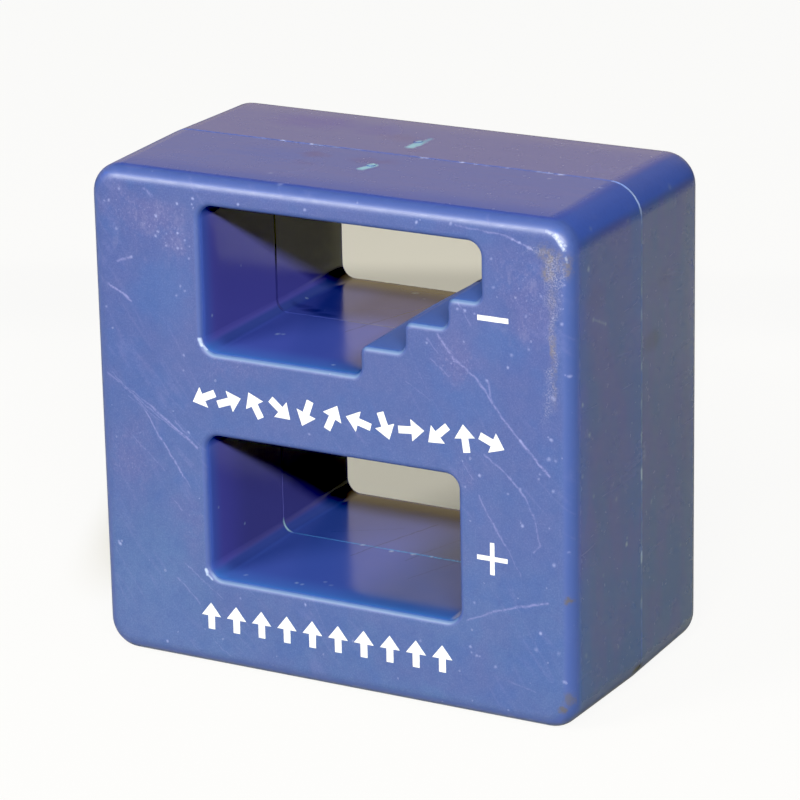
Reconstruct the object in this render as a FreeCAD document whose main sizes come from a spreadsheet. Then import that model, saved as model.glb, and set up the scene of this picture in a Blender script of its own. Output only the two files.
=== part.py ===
import FreeCAD, Part
import Sketcher
import math
import os

# Hand-tool magnetizer and demagnetizer block.
#
# Two moulded half shells meet at the mid-depth plane y = 0. Two windows run
# right through the block: a plain rectangular one low down (for magnetizing)
# and a taller one above it with three steps (for demagnetizing). Two ferrite
# blocks are sealed in the bars under the two windows, each on a foam pad.
# White foil-stamped marks fill shallow recesses in the front face.
#
# Frame: +Z up, front face towards -Y, X to the right as seen from the front,
# origin at the centre of the base. Millimetres and degrees.

DIMENSIONS = [
    # outside of the block
    ("width", 52.0), ("ridge_top", 50.0), ("ridge_trim", 0.05), ("half_depth", 14.0),
    ("outline_radius", 3.3), ("draft_front", 1.29), ("draft_rear", 0.94),
    ("edge_radius_front", 1.6), ("edge_radius_rear", 2.0),
    ("seam_bevel", 0.12), ("window_seam_bevel", 0.06),
    # shell walls, and how far inside parts run into them
    ("wall", 1.8), ("floor_wall", 2.2), ("skin", 1.8), ("collar_wall", 1.6),
    ("inner_radius", 1.6), ("skin_overlap", 0.3), ("wall_overlap", 0.4),
    # windows, measured where the two halves meet
    ("window_left", -13.35), ("window_draft", 0.9),
    ("window_radius", 1.2), ("window_edge_radius", 0.6),
    ("low_right", 13.52), ("low_floor", 9.62), ("low_ceiling", 23.85),
    ("high_right", 16.11), ("high_floor", 32.65), ("high_ceiling", 46.68),
    ("riser_one", 3.4), ("riser_two", 8.11), ("riser_three", 12.61),
    ("tread_one", 35.6), ("tread_two", 38.55), ("tread_three", 41.45),
    ("nose_radius", 1.0), ("inner_step_radius", 0.6),
    # magnets and their seats
    ("magnet_length", 40.0), ("magnet_width", 24.0), ("magnet_thick", 5.0),
    ("magnet_chamfer", 0.4),
    ("pad_length", 38.0), ("pad_width", 22.0), ("pad_thick", 0.4),
    ("rib_gap", 0.15), ("rib_thick", 1.2), ("rib_top_low", 7.2),
    # joint between the halves
    ("tongue_inset", 0.62), ("tongue_wide", 0.56), ("tongue_tall", 0.6),
    ("groove_inset", 0.55), ("groove_wide", 0.7), ("groove_deep", 0.7),
    ("boss_diameter", 5.0), ("pin_diameter", 2.4), ("pin_tall", 3.0),
    ("socket_diameter", 2.5), ("socket_deep", 3.6),
    ("boss_x_left", -19.6), ("boss_x_low", 19.7), ("boss_x_high", 20.95),
    ("boss_z_low", 16.5), ("boss_z_high", 44.0),
    # gate stubs on the top face, trimmed just under the level of the ridge
    ("gate_x", -0.2), ("gate_y_front", -4.1), ("gate_y_rear", 5.3),
    ("gate_stub", 0.9), ("gate_stub_root", 0.4), ("gate_stub_below_ridge", 0.02),
    # how far the cutter that trims the base reaches past the block
    ("trim_margin", 1.0),
    # marks on the front face
    ("ink_deep", 0.08),
    ("minus_x", 17.62), ("minus_z", 39.84), ("minus_long", 3.18), ("minus_thick", 0.5),
    ("plus_x", 17.28), ("plus_z", 16.47), ("plus_long", 3.19), ("plus_thick", 0.47),
    ("arrow_long", 2.74), ("arrow_head_long", 1.36),
    ("arrow_head_wide", 2.16), ("arrow_shaft", 0.74),
    ("row_high_first", -13.52), ("row_high_pitch", 2.81), ("row_high_z", 27.91),
    ("row_low_first", -13.54), ("row_low_pitch", 2.82), ("row_low_z", 5.52),
    ("row_low_turn", 90.0),
    # directions of the loose arrows, from left to right
    ("turn_a", 205), ("turn_b", 20), ("turn_c", 118), ("turn_d", 320),
    ("turn_e", 250), ("turn_f", 65), ("turn_g", 165), ("turn_h", 290),
    ("turn_i", 5), ("turn_j", 222), ("turn_k", 98), ("turn_l", 338),
]
ALIGNED_ARROWS = 10

FLAT_TOLERANCE = 1e-4   # how closely an edge must keep to a plane
EDGE_MARGIN = 0.01      # allowance when edges are picked by their bounds
MOUTH_MARGIN = 1.0      # the draft widens the window mouths by less than this

# point numbers that sketch constraints use
START, END, CENTRE = 1, 2, 3
X_AXIS = -1
ORIGIN = (-1, START)


class Size:
    """A number together with the spreadsheet expression that gives it."""

    def __init__(self, value, text):
        self.value = value
        self.text = text

    def combine(self, sign, other, result):
        if not isinstance(other, Size):
            other = Size(other, "%.6g" % other)
        value = result(self.value, other.value)
        return Size(value, "(%s %s %s)" % (self.text, sign, other.text))

    def __neg__(self):
        return Size(-self.value, "(-%s)" % self.text)

    def __add__(self, other):
        return self.combine("+", other, lambda a, b: a + b)

    def __sub__(self, other):
        return self.combine("-", other, lambda a, b: a - b)

    def __mul__(self, other):
        return self.combine("*", other, lambda a, b: a * b)

    def __truediv__(self, other):
        return self.combine("/", other, lambda a, b: a / b)


class Dimensions:
    """The spreadsheet of driving dimensions, each one an attribute of type Size."""

    def __init__(self, table):
        sheet = doc.addObject("Spreadsheet::Sheet", "sizes")
        for row, (alias, value) in enumerate(table, start=1):
            sheet.set("A%d" % row, alias)
            sheet.set("B%d" % row, "%.6g" % value)
            sheet.setAlias("B%d" % row, alias)
            setattr(self, alias, Size(value, "sizes." + alias))
        doc.recompute()


doc = FreeCAD.newDocument("magnetizer_block")
dim = Dimensions(DIMENSIONS)

# dimensions that several pieces share
HALF_WIDTH = dim.width / 2
HOLLOW_DEPTH = dim.half_depth - dim.skin
ROOTED_DEPTH = HOLLOW_DEPTH + dim.skin_overlap
BAR_BOTTOM = dim.low_ceiling + dim.collar_wall
BAR_TOP = dim.high_floor - dim.collar_wall
BOSSES = [
    (dim.boss_x_left, dim.boss_z_low), (dim.boss_x_low, dim.boss_z_low),
    (dim.boss_x_left, dim.boss_z_high), (dim.boss_x_high, dim.boss_z_high),
]
LOOSE_TURNS = [getattr(dim, "turn_" + letter) for letter in "abcdefghijkl"]


# ---- sketches ----

def drive(item, prop, size):
    """Sets a property and binds it to the spreadsheet."""
    setattr(item, prop, size.value)
    item.setExpression(prop, size.text)


def new_sketch(body, name, plane="XZ_Plane"):
    """A sketch on an origin plane; on XZ its axes are X and Z and it faces the front."""
    sketch = body.newObject("Sketcher::SketchObject", name)
    support = next(o for o in body.Origin.OriginFeatures if o.Role == plane)
    sketch.AttachmentSupport = [(support, "")]
    sketch.MapMode = "FlatFace"
    return sketch


def point(x, y):
    return FreeCAD.Vector(x, y, 0)


def circle(x, y, radius):
    return Part.Circle(point(x, y), FreeCAD.Vector(0, 0, 1), radius)


def constrain(sketch, *definition):
    return sketch.addConstraint(Sketcher.Constraint(*definition))


def dimension(sketch, size, *definition):
    """Adds a dimensional constraint bound to the spreadsheet."""
    index = constrain(sketch, *definition, size.value)
    sketch.setExpression("Constraints[%d]" % index, size.text)


def corner_arc(sketch, before, corner, after, tangent_in, tangent_out, radius):
    """Draws a rounded corner; returns the arc and its ends in the loop's direction."""
    (x, y), (in_x, in_y), (out_x, out_y) = corner, tangent_in, tangent_out
    centre_x, centre_y = in_x + out_x - x, in_y + out_y - y
    angle_in = math.atan2(in_y - centre_y, in_x - centre_x)
    angle_out = math.atan2(out_y - centre_y, out_x - centre_x)
    cross = (x - before[0]) * (after[1] - y) - (y - before[1]) * (after[0] - x)
    full = circle(centre_x, centre_y, radius)
    if cross > 0:
        return sketch.addGeometry(Part.ArcOfCircle(full, angle_in, angle_out), False), START, END
    return sketch.addGeometry(Part.ArcOfCircle(full, angle_out, angle_in), False), END, START


def axis_loop(sketch, corners):
    """A closed loop of level and upright lines, some corners rounded.

    corners lists (x, y, radius or None) counter-clockwise. Every line's distance
    from its axis and every radius is bound to the spreadsheet."""
    count = len(corners)
    spots = [(x.value, y.value) for x, y, _ in corners]
    radii = [radius.value if radius else 0.0 for _, _, radius in corners]

    # the lines stop short of rounded corners
    starts, ends = [], []
    for i in range(count):
        j = (i + 1) % count
        (x0, y0), (x1, y1) = spots[i], spots[j]
        length = math.hypot(x1 - x0, y1 - y0)
        step_x, step_y = (x1 - x0) / length, (y1 - y0) / length
        starts.append((x0 + step_x * radii[i], y0 + step_y * radii[i]))
        ends.append((x1 - step_x * radii[j], y1 - step_y * radii[j]))
    lines = [sketch.addGeometry(Part.LineSegment(point(*start), point(*end)), False)
             for start, end in zip(starts, ends)]
    arcs = [corner_arc(sketch, spots[i - 1], spots[i], spots[(i + 1) % count],
                       ends[i - 1], starts[i], radii[i]) if radii[i] else None
            for i in range(count)]

    for i in range(count):
        if arcs[i] is None:
            constrain(sketch, "Coincident", lines[i - 1], END, lines[i], START)
            continue
        arc, arc_in, arc_out = arcs[i]
        constrain(sketch, "Tangent", lines[i - 1], END, arc, arc_in)
        constrain(sketch, "Tangent", arc, arc_out, lines[i], START)
        dimension(sketch, corners[i][2], "Radius", arc)
    for i, line in enumerate(lines):
        x, y, _ = corners[i]
        if abs(spots[(i + 1) % count][1] - spots[i][1]) < 1e-9:
            constrain(sketch, "Horizontal", line)
            dimension(sketch, y, "DistanceY", *ORIGIN, line, START)
        else:
            constrain(sketch, "Vertical", line)
            dimension(sketch, x, "DistanceX", *ORIGIN, line, START)


def box_loop(sketch, left, bottom, right, top, radius=None):
    axis_loop(sketch, [(left, bottom, radius), (right, bottom, radius),
                       (right, top, radius), (left, top, radius)])


def disc(sketch, x, y, diameter):
    ring = sketch.addGeometry(circle(x.value, y.value, diameter.value / 2.0), False)
    dimension(sketch, diameter, "Diameter", ring)
    dimension(sketch, x, "DistanceX", *ORIGIN, ring, CENTRE)
    dimension(sketch, y, "DistanceY", *ORIGIN, ring, CENTRE)


# ---- features ----

def extrude(kind, body, sketch, name, length, reverse, taper):
    feature = body.newObject("PartDesign::" + kind, name)
    feature.Profile = sketch
    drive(feature, "Length", length)
    feature.Reversed = reverse
    if taper:
        drive(feature, "TaperAngle", taper)
    doc.recompute()
    body.Tip = feature
    return feature


def pad(body, sketch, name, length, reverse=False, taper=None):
    """Adds material on the side the sketch faces, or behind it if reversed."""
    return extrude("Pad", body, sketch, name, length, reverse, taper)


def pocket(body, sketch, name, length, reverse=False, taper=None):
    """Cuts behind the sketch, or on the side it faces if reversed."""
    before = body.Shape.Volume
    feature = extrude("Pocket", body, sketch, name, length, reverse, taper)
    doc.recompute()
    if not feature.Shape.Volume < before - 1e-6:
        raise RuntimeError("pocket %s cuts nothing" % name)
    return feature


def dress(kind, prop, body, name, base, edges, size):
    feature = body.newObject("PartDesign::" + kind, name)
    feature.Base = (base, edges)
    drive(feature, prop, size)
    doc.recompute()
    body.Tip = feature
    return feature


def fillet(*args):
    return dress("Fillet", "Radius", *args)


def chamfer(*args):
    return dress("Chamfer", "Size", *args)


def edges_at(shape, y, accept=lambda bounds: True):
    """Names of the edges that lie in the plane at y and whose bounds are accepted."""
    names = []
    for i, edge in enumerate(shape.Edges, start=1):
        bounds = edge.BoundBox
        flat = (abs(bounds.YMin - y) < FLAT_TOLERANCE
                and abs(bounds.YMax - y) < FLAT_TOLERANCE)
        if flat and accept(bounds):
            names.append("Edge%d" % i)
    return names


def within(bounds, left, right, bottom, top, margin):
    """True if bounds lie inside a rectangle that is widened by margin."""
    return (bounds.XMin > left.value - margin and bounds.XMax < right.value + margin
            and bounds.ZMin > bottom.value - margin and bounds.ZMax < top.value + margin)


# ---- half shells ----

def stepped_corners(grow, ceiling, outer=None, inner=None, nose=None):
    """Corners of the stepped window, grown on its left, right and lower sides."""
    risers = [dim.riser_one, dim.riser_two, dim.riser_three]
    levels = [dim.high_floor, dim.tread_one, dim.tread_two, dim.tread_three]
    left, right = dim.window_left - grow, dim.high_right + grow
    corners = [(left, dim.high_floor - grow, outer)]
    for riser, below, above in zip(risers, levels, levels[1:]):
        corners += [(riser + grow, below - grow, inner), (riser + grow, above - grow, nose)]
    corners += [(right, dim.tread_three - grow, inner),
                (right, ceiling, outer), (left, ceiling, outer)]
    return corners


def add_outer_block(body, prefix, front):
    """Hollow block, widest where the halves meet, with a rounded outer rim."""
    sketch = new_sketch(body, prefix + "outline")
    box_loop(sketch, -HALF_WIDTH, -dim.ridge_trim, HALF_WIDTH, dim.ridge_top,
             dim.outline_radius)
    draft = dim.draft_front if front else dim.draft_rear
    block = pad(body, sketch, prefix + "block", dim.half_depth, not front, -draft)
    doc.recompute()
    face_y = dim.half_depth.value * (-1.0 if front else 1.0)
    fillet(body, prefix + "rim", block, edges_at(block.Shape, face_y),
           dim.edge_radius_front if front else dim.edge_radius_rear)

    sketch = new_sketch(body, prefix + "hollow_outline")
    box_loop(sketch, -HALF_WIDTH + dim.wall, dim.floor_wall,
             HALF_WIDTH - dim.wall, dim.ridge_top - dim.wall, dim.inner_radius)
    pocket(body, sketch, prefix + "hollow", HOLLOW_DEPTH, front)


def add_inside(body, prefix, front):
    """Collars round the windows, ribs that hold the magnets, and bosses."""
    collar = dim.collar_wall
    sketch = new_sketch(body, prefix + "low_collar_outline")
    box_loop(sketch, dim.window_left - collar, dim.low_floor - collar,
             dim.low_right + collar, dim.low_ceiling + collar)
    pad(body, sketch, prefix + "low_collar", ROOTED_DEPTH, not front)

    sketch = new_sketch(body, prefix + "high_collar_outline")
    collar_top = dim.ridge_top - dim.wall + dim.wall_overlap
    axis_loop(sketch, stepped_corners(collar, collar_top))
    pad(body, sketch, prefix + "high_collar", ROOTED_DEPTH, not front)

    sketch = new_sketch(body, prefix + "rib_outlines")
    inner = dim.magnet_length / 2 + dim.rib_gap
    outer = inner + dim.rib_thick
    for left, right in ((inner, outer), (-outer, -inner)):
        box_loop(sketch, left, dim.floor_wall - dim.wall_overlap, right, dim.rib_top_low)
        box_loop(sketch, left, BAR_BOTTOM, right, BAR_TOP)
    pad(body, sketch, prefix + "ribs", ROOTED_DEPTH, not front)

    sketch = new_sketch(body, prefix + "boss_outlines")
    for x, z in BOSSES:
        disc(sketch, x, z, dim.boss_diameter)
    pad(body, sketch, prefix + "bosses", ROOTED_DEPTH, not front)


def cut_windows(body, prefix, front):
    """Both windows, narrowest where the halves meet, with softened mouths."""
    sketch = new_sketch(body, prefix + "low_window_outline")
    box_loop(sketch, dim.window_left, dim.low_floor, dim.low_right, dim.low_ceiling,
             dim.window_radius)
    pocket(body, sketch, prefix + "low_window", dim.half_depth, front, dim.window_draft)

    sketch = new_sketch(body, prefix + "high_window_outline")
    axis_loop(sketch, stepped_corners(0, dim.high_ceiling, outer=dim.window_radius,
                                      inner=dim.inner_step_radius, nose=dim.nose_radius))
    cut = pocket(body, sketch, prefix + "high_window", dim.half_depth, front,
                 dim.window_draft)

    def is_mouth(bounds):
        return within(bounds, dim.window_left, dim.high_right,
                      dim.low_floor, dim.high_ceiling, MOUTH_MARGIN)

    face_y = dim.half_depth.value * (-1.0 if front else 1.0)
    return fillet(body, prefix + "window_mouths", cut,
                  edges_at(cut.Shape, face_y, is_mouth), dim.window_edge_radius)


def bevel_joint(body, prefix, mouths):
    """Fine bevels where the halves meet, outside and inside the windows."""
    def is_outer(bounds):
        return not within(bounds, -HALF_WIDTH, HALF_WIDTH,
                          -dim.ridge_trim, dim.ridge_top, -EDGE_MARGIN)

    def is_window(bounds):
        return (within(bounds, dim.window_left, dim.low_right,
                       dim.low_floor, dim.low_ceiling, EDGE_MARGIN)
                or within(bounds, dim.window_left, dim.high_right,
                          dim.high_floor, dim.high_ceiling, EDGE_MARGIN))

    seam = chamfer(body, prefix + "seam_bevel", mouths,
                   edges_at(mouths.Shape, 0, is_outer), dim.seam_bevel)
    chamfer(body, prefix + "window_seam_bevel", seam,
            edges_at(seam.Shape, 0, is_window), dim.window_seam_bevel)


def inset_loop(sketch, inset):
    """The block's outline, moved inwards."""
    box_loop(sketch, -HALF_WIDTH + inset, -dim.ridge_trim + inset,
             HALF_WIDTH - inset, dim.ridge_top - inset, dim.outline_radius - inset)


def add_joint(body, prefix, front):
    """Tongue and pins on the front half, groove and sockets in the rear half."""
    inset = dim.tongue_inset if front else dim.groove_inset
    wide = dim.tongue_wide if front else dim.groove_wide
    ring = new_sketch(body, prefix + "key_outline")
    inset_loop(ring, inset)
    inset_loop(ring, inset + wide)
    if front:
        pad(body, ring, prefix + "tongue", dim.tongue_tall, True)
    else:
        pocket(body, ring, prefix + "groove", dim.groove_deep)

    locators = new_sketch(body, prefix + "locator_outlines")
    for x, z in BOSSES:
        disc(locators, x, z, dim.pin_diameter if front else dim.socket_diameter)
    if front:
        pad(body, locators, prefix + "pins", dim.pin_tall, True)
    else:
        pocket(body, locators, prefix + "sockets", dim.socket_deep)


def add_gate_stub(body, prefix, front):
    """What is left of the moulding gate, trimmed nearly flush with the top face."""
    sketch = new_sketch(body, prefix + "gate_stub_outline", "XY_Plane")
    root_z = dim.ridge_top - dim.gate_stub_root
    sketch.AttachmentOffset = FreeCAD.Placement(
        FreeCAD.Vector(0, 0, root_z.value), FreeCAD.Rotation())
    sketch.setExpression("AttachmentOffset.Base.z", root_z.text)
    disc(sketch, dim.gate_x, dim.gate_y_front if front else dim.gate_y_rear, dim.gate_stub)
    pad(body, sketch, prefix + "gate_stub", dim.gate_stub_root - dim.gate_stub_below_ridge)


def trim_base(body, prefix):
    """Levels the ridge under the joint at z = 0, so that the block stands flat."""
    sketch = new_sketch(body, prefix + "base_trim_outline", "XY_Plane")
    reach_x = HALF_WIDTH + dim.trim_margin
    reach_y = dim.half_depth + dim.trim_margin
    box_loop(sketch, -reach_x, -reach_y, reach_x, reach_y)
    pocket(body, sketch, prefix + "base_land", dim.ridge_trim + dim.trim_margin)


def shell(name, front):
    """One moulded half, from y = 0 to -half_depth (front) or +half_depth (rear)."""
    body = doc.addObject("PartDesign::Body", name)
    prefix = name + "_"
    add_outer_block(body, prefix, front)
    add_inside(body, prefix, front)
    mouths = cut_windows(body, prefix, front)
    bevel_joint(body, prefix, mouths)
    add_joint(body, prefix, front)
    add_gate_stub(body, prefix, front)
    trim_base(body, prefix)
    doc.recompute()
    return body


# ---- magnets and foam pads ----

def slab(name, suffix, length, width, bottom, thick):
    """A body holding one plain block, centred in X and Y."""
    body = doc.addObject("PartDesign::Body", name)
    sketch = new_sketch(body, name + "_outline")
    box_loop(sketch, -length / 2, bottom, length / 2, bottom + thick)
    block = pad(body, sketch, name + suffix, width)
    block.Midplane = True
    doc.recompute()
    return body, block


def magnet(name, seat):
    """A ferrite block with ground edges, resting on its foam pad."""
    body, block = slab(name, "_block", dim.magnet_length, dim.magnet_width,
                       seat + dim.pad_thick, dim.magnet_thick)
    every_edge = ["Edge%d" % (i + 1) for i in range(len(block.Shape.Edges))]
    chamfer(body, name + "_ground_edges", block, every_edge, dim.magnet_chamfer)
    return body


def foam_pad(name, seat):
    body, _ = slab(name, "_foam", dim.pad_length, dim.pad_width, seat, dim.pad_thick)
    return body


# ---- marks on the front face ----

def legend_body(name):
    body = doc.addObject("PartDesign::Body", name)
    body.AllowCompound = True
    return body


def mark_sketch(body, name, x, z, turn=None):
    """A sketch at the bottom of a mark's recess, just behind the front face."""
    sketch = new_sketch(body, name)
    depth = dim.half_depth - dim.ink_deep
    sketch.AttachmentOffset = FreeCAD.Placement(
        FreeCAD.Vector(x.value, z.value, depth.value),
        FreeCAD.Rotation(FreeCAD.Vector(0, 0, 1), turn.value if turn else 0))
    # the offset is in the sketch's own axes: its y is up, its z towards the front
    sketch.setExpression("AttachmentOffset.Base.x", x.text)
    sketch.setExpression("AttachmentOffset.Base.y", z.text)
    sketch.setExpression("AttachmentOffset.Base.z", depth.text)
    if turn:
        sketch.setExpression("AttachmentOffset.Rotation.Angle", turn.text)
    return sketch


def draw_arrow(sketch):
    """A small block arrow, centred, pointing along the sketch's first axis."""
    tip = dim.arrow_long / 2
    tail, neck = -tip, tip - dim.arrow_head_long
    shaft, wing = dim.arrow_shaft / 2, dim.arrow_head_wide / 2
    # (x, y) of each corner; the tip lies on the axis, so it has no y
    corners = [(tail, -shaft), (neck, -shaft), (neck, -wing), (tip, None),
               (neck, wing), (neck, shaft), (tail, shaft)]
    spots = [point(x.value, y.value if y else 0) for x, y in corners]
    count = len(spots)
    lines = [sketch.addGeometry(Part.LineSegment(spots[i], spots[(i + 1) % count]), False)
             for i in range(count)]
    for i in range(count):
        constrain(sketch, "Coincident", lines[i], END, lines[(i + 1) % count], START)
    for i, kind in ((0, "Horizontal"), (1, "Vertical"), (4, "Vertical"),
                    (5, "Horizontal"), (6, "Vertical")):
        constrain(sketch, kind, lines[i])
    for i, kind, size in (
            (0, "DistanceX", tail), (0, "DistanceY", -shaft),
            (1, "DistanceX", neck), (2, "DistanceY", -wing),
            (3, "DistanceX", tip), (4, "DistanceY", wing),
            (4, "DistanceX", neck), (5, "DistanceY", shaft)):
        dimension(sketch, size, kind, *ORIGIN, lines[i], START)
    constrain(sketch, "PointOnObject", lines[3], START, X_AXIS)


def minus_mark():
    """Minus beside the stepped window."""
    body = legend_body("legend_minus")
    sketch = mark_sketch(body, "minus_outline", dim.minus_x, dim.minus_z)
    end, side = dim.minus_long / 2, dim.minus_thick / 2
    box_loop(sketch, -end, -side, end, side)
    pad(body, sketch, "minus_fill", dim.ink_deep)
    return body


def plus_mark():
    """Plus beside the plain window."""
    body = legend_body("legend_plus")
    sketch = mark_sketch(body, "plus_outline", dim.plus_x, dim.plus_z)
    end, side = dim.plus_long / 2, dim.plus_thick / 2
    outline = [(-side, -end), (side, -end), (side, -side), (end, -side),
               (end, side), (side, side), (side, end), (-side, end),
               (-side, side), (-end, side), (-end, -side), (-side, -side)]
    axis_loop(sketch, [(x, y, None) for x, y in outline])
    pad(body, sketch, "plus_fill", dim.ink_deep)
    return body


def aligned_arrows():
    """Row of upright arrows that all point the same way, for magnetized."""
    body = legend_body("legend_magnetize")
    sketch = mark_sketch(body, "aligned_arrow_outline",
                         dim.row_low_first, dim.row_low_z, dim.row_low_turn)
    draw_arrow(sketch)
    first = pad(body, sketch, "aligned_arrow", dim.ink_deep)
    row = body.newObject("PartDesign::LinearPattern", "aligned_row")
    row.Originals = [first]
    # the turned sketch's second axis points left, so reversing it runs the row right
    row.Direction = (sketch, ["V_Axis"])
    row.Reversed = True
    drive(row, "Length", dim.row_low_pitch * (ALIGNED_ARROWS - 1))
    row.Occurrences = ALIGNED_ARROWS
    doc.recompute()
    body.Tip = row
    return body


def loose_arrows():
    """Row of arrows that point every way, for demagnetized."""
    body = legend_body("legend_demagnetize")
    for i, turn in enumerate(LOOSE_TURNS):
        sketch = mark_sketch(body, "loose_arrow_outline_%d" % (i + 1),
                             dim.row_high_first + dim.row_high_pitch * i,
                             dim.row_high_z, turn)
        draw_arrow(sketch)
        pad(body, sketch, "loose_arrow_%d" % (i + 1), dim.ink_deep)
    return body


def cut_recesses(body, legends):
    """The front casing: the front shell with a shallow recess under every mark."""
    marks = doc.addObject("Part::Compound", "mark_recesses")
    marks.Links = legends
    casing = doc.addObject("Part::Cut", "front_casing")
    casing.Base = body
    casing.Tool = marks
    doc.recompute()
    return casing


# ---- assembly, checks and export ----

front_shell = shell("front_shell", front=True)
rear_casing = shell("rear_casing", front=False)
inserts = [
    magnet("middle_magnet", BAR_BOTTOM),
    magnet("base_magnet", dim.floor_wall),
    foam_pad("middle_magnet_pad", BAR_BOTTOM),
    foam_pad("base_magnet_pad", dim.floor_wall),
]
legend_minus = minus_mark()
legend_plus = plus_mark()
legend_magnetize = aligned_arrows()
legend_demagnetize = loose_arrows()
doc.recompute()
all_legends = [legend_minus, legend_plus, legend_magnetize, legend_demagnetize]
front_casing = cut_recesses(front_shell, all_legends)
pieces = [front_casing, rear_casing] + inserts + all_legends

for item in doc.Objects:
    for bad in ("Invalid", "Error"):
        if bad in item.State:
            raise RuntimeError("%s is %s" % (item.Label, item.State))
for piece in pieces:
    if piece.Shape.isNull() or not piece.Shape.isValid() or not piece.Shape.Solids:
        raise RuntimeError("%s has no valid shape" % piece.Label)
for legend, arrow_count in ((legend_magnetize, ALIGNED_ARROWS),
                            (legend_demagnetize, len(LOOSE_TURNS))):
    if len(legend.Shape.Solids) != arrow_count:
        raise RuntimeError("%s lacks an arrow" % legend.Label)

os.makedirs("parts", exist_ok=True)
for piece in pieces:
    piece.Shape.exportStep("parts/%s.step" % piece.Label)
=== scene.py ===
# Looks, studio and camera for a small magnetizer block: two halves of blue plastic casing, white
# stamped legends, and two ferrite magnets on foam pads.
# The block stands on z = 0, about 50 mm tall, centred on x and y. Its front faces -Y, its right
# side +X, and the halves meet at y = 0. Two windows, one above the other, run through it along Y.
# All shading is worked out in millimetres; the scene itself is in metres.
import bpy
import math
from types import SimpleNamespace
from mathutils import Matrix, Vector


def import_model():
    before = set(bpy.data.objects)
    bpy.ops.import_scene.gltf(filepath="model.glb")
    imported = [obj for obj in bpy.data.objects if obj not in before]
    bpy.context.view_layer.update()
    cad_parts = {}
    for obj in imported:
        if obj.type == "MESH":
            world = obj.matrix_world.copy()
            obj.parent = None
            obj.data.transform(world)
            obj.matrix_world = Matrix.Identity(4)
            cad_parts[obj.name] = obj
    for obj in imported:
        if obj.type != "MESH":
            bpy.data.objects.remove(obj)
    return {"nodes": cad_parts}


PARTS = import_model()["nodes"]
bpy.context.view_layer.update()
MM = 0.001
MID_HEIGHT = 25.0  # z of the block's middle, mm


# ---------------------------------------------------------------- node helpers
class Tree:
    """Builds shader nodes in one node tree. Inputs may be numbers, tuples or Values."""

    def __init__(self, data):
        self.data = data

    def put(self, socket, value):
        if isinstance(value, Value):
            self.data.links.new(value.socket, socket)
        elif isinstance(value, tuple) and len(value) == 3 and len(socket.default_value) == 4:
            socket.default_value = (*value, 1.0)
        else:
            socket.default_value = value

    def nodes(self, kind, outputs, inputs={}, **settings):
        """Adds one node and returns the listed outputs. Inputs that are None stay as they are."""
        node = self.data.nodes.new("ShaderNode" + kind)
        for name, value in settings.items():
            setattr(node, name, value)
        for key, value in inputs.items():
            if value is not None:
                self.put(node.inputs[key], value)
        return [Value(self, node.outputs[key]) for key in outputs]

    def node(self, kind, inputs={}, output=0, **settings):
        return self.nodes(kind, [output], inputs, **settings)[0]

    def math(self, operation, *inputs):
        return self.node("Math", dict(enumerate(inputs)), operation=operation)

    def vec(self, operation, first, second=None, scale=None):
        single = operation in ("LENGTH", "DISTANCE", "DOT_PRODUCT")
        return self.node("VectorMath", {0: first, 1: second, "Scale": scale},
                         "Value" if single else "Vector", operation=operation)

    def bump(self, height, normal=None):
        """Relief whose height is in mm."""
        return self.node("Bump", {"Distance": MM, "Height": height, "Normal": normal})

    def mix_shader(self, mask, first, second):
        return self.node("MixShader", {0: mask, 1: first, 2: second})


class Value:
    """A node output that can be used in sums. Each operation adds one node."""

    def __init__(self, tree, socket):
        self.tree = tree
        self.socket = socket

    def math(self, operation, *others):
        return self.tree.math(operation, self, *others)

    def __add__(self, other):
        return self.math("ADD", other)

    def __sub__(self, other):
        return self.math("SUBTRACT", other)

    def __rsub__(self, other):
        return self.tree.math("SUBTRACT", other, self)

    def __mul__(self, other):
        return self.math("MULTIPLY", other)

    def __gt__(self, other):
        return self.math("GREATER_THAN", other)

    def __lt__(self, other):
        return self.math("LESS_THAN", other)

    def __abs__(self):
        return self.math("ABSOLUTE")

    def max(self, other):
        return self.math("MAXIMUM", other)

    def min(self, other):
        return self.math("MINIMUM", other)

    def ramp(self, low, high, start=0.0, end=1.0, smooth=True):
        """Goes from start to end while the value goes from low to high, and holds outside."""
        return self.tree.node("MapRange", {0: self, 1: low, 2: high, 3: start, 4: end}, clamp=True,
                              interpolation_type="SMOOTHSTEP" if smooth else "LINEAR")

    def fall(self, low, high, start=1.0, smooth=True):
        """Goes from start down to 0 while the value goes from low to high."""
        return self.ramp(low, high, start, 0.0, smooth)

    def mix(self, base, colour):
        """Colour where this mask is 1, base where it is 0."""
        return self.tree.node("Mix", {0: self, 6: base, 7: colour}, 2,
                              data_type="RGBA", clamp_factor=True)

    def lerp(self, base, number):
        """The same as mix, for plain numbers."""
        return self.tree.node("Mix", {0: self, 2: base, 3: number},
                              data_type="FLOAT", clamp_factor=True)

    def vec(self, operation, other=None, scale=None):
        return self.tree.vec(operation, self, other, scale)

    def xyz(self):
        return self.tree.nodes("SeparateXYZ", (0, 1, 2), {0: self})

    def stretch(self, *factors):
        return self.vec("MULTIPLY", factors)

    def onto(self, plane):
        """Flattens a position onto one of the planes below."""
        return self.stretch(*plane(1, 1))

    def noise(self, scale, detail=2.0, rough=0.5, seed=None, output="Fac"):
        point = self
        if seed is not None:
            point = self.vec("ADD", (seed * 13.7, seed * 5.3, seed * 9.1))
        inputs = {"Vector": point, "Scale": scale, "Detail": detail, "Roughness": rough}
        return self.tree.node("TexNoise", inputs, output)

    def wobble(self, scale, rough, reach):
        """A position pushed about by noise, by up to half of reach (mm)."""
        push = self.noise(scale, rough=rough, output="Color").vec("SUBTRACT", (0.5, 0.5, 0.5))
        return self.vec("ADD", push.vec("SCALE", scale=reach))


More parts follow.
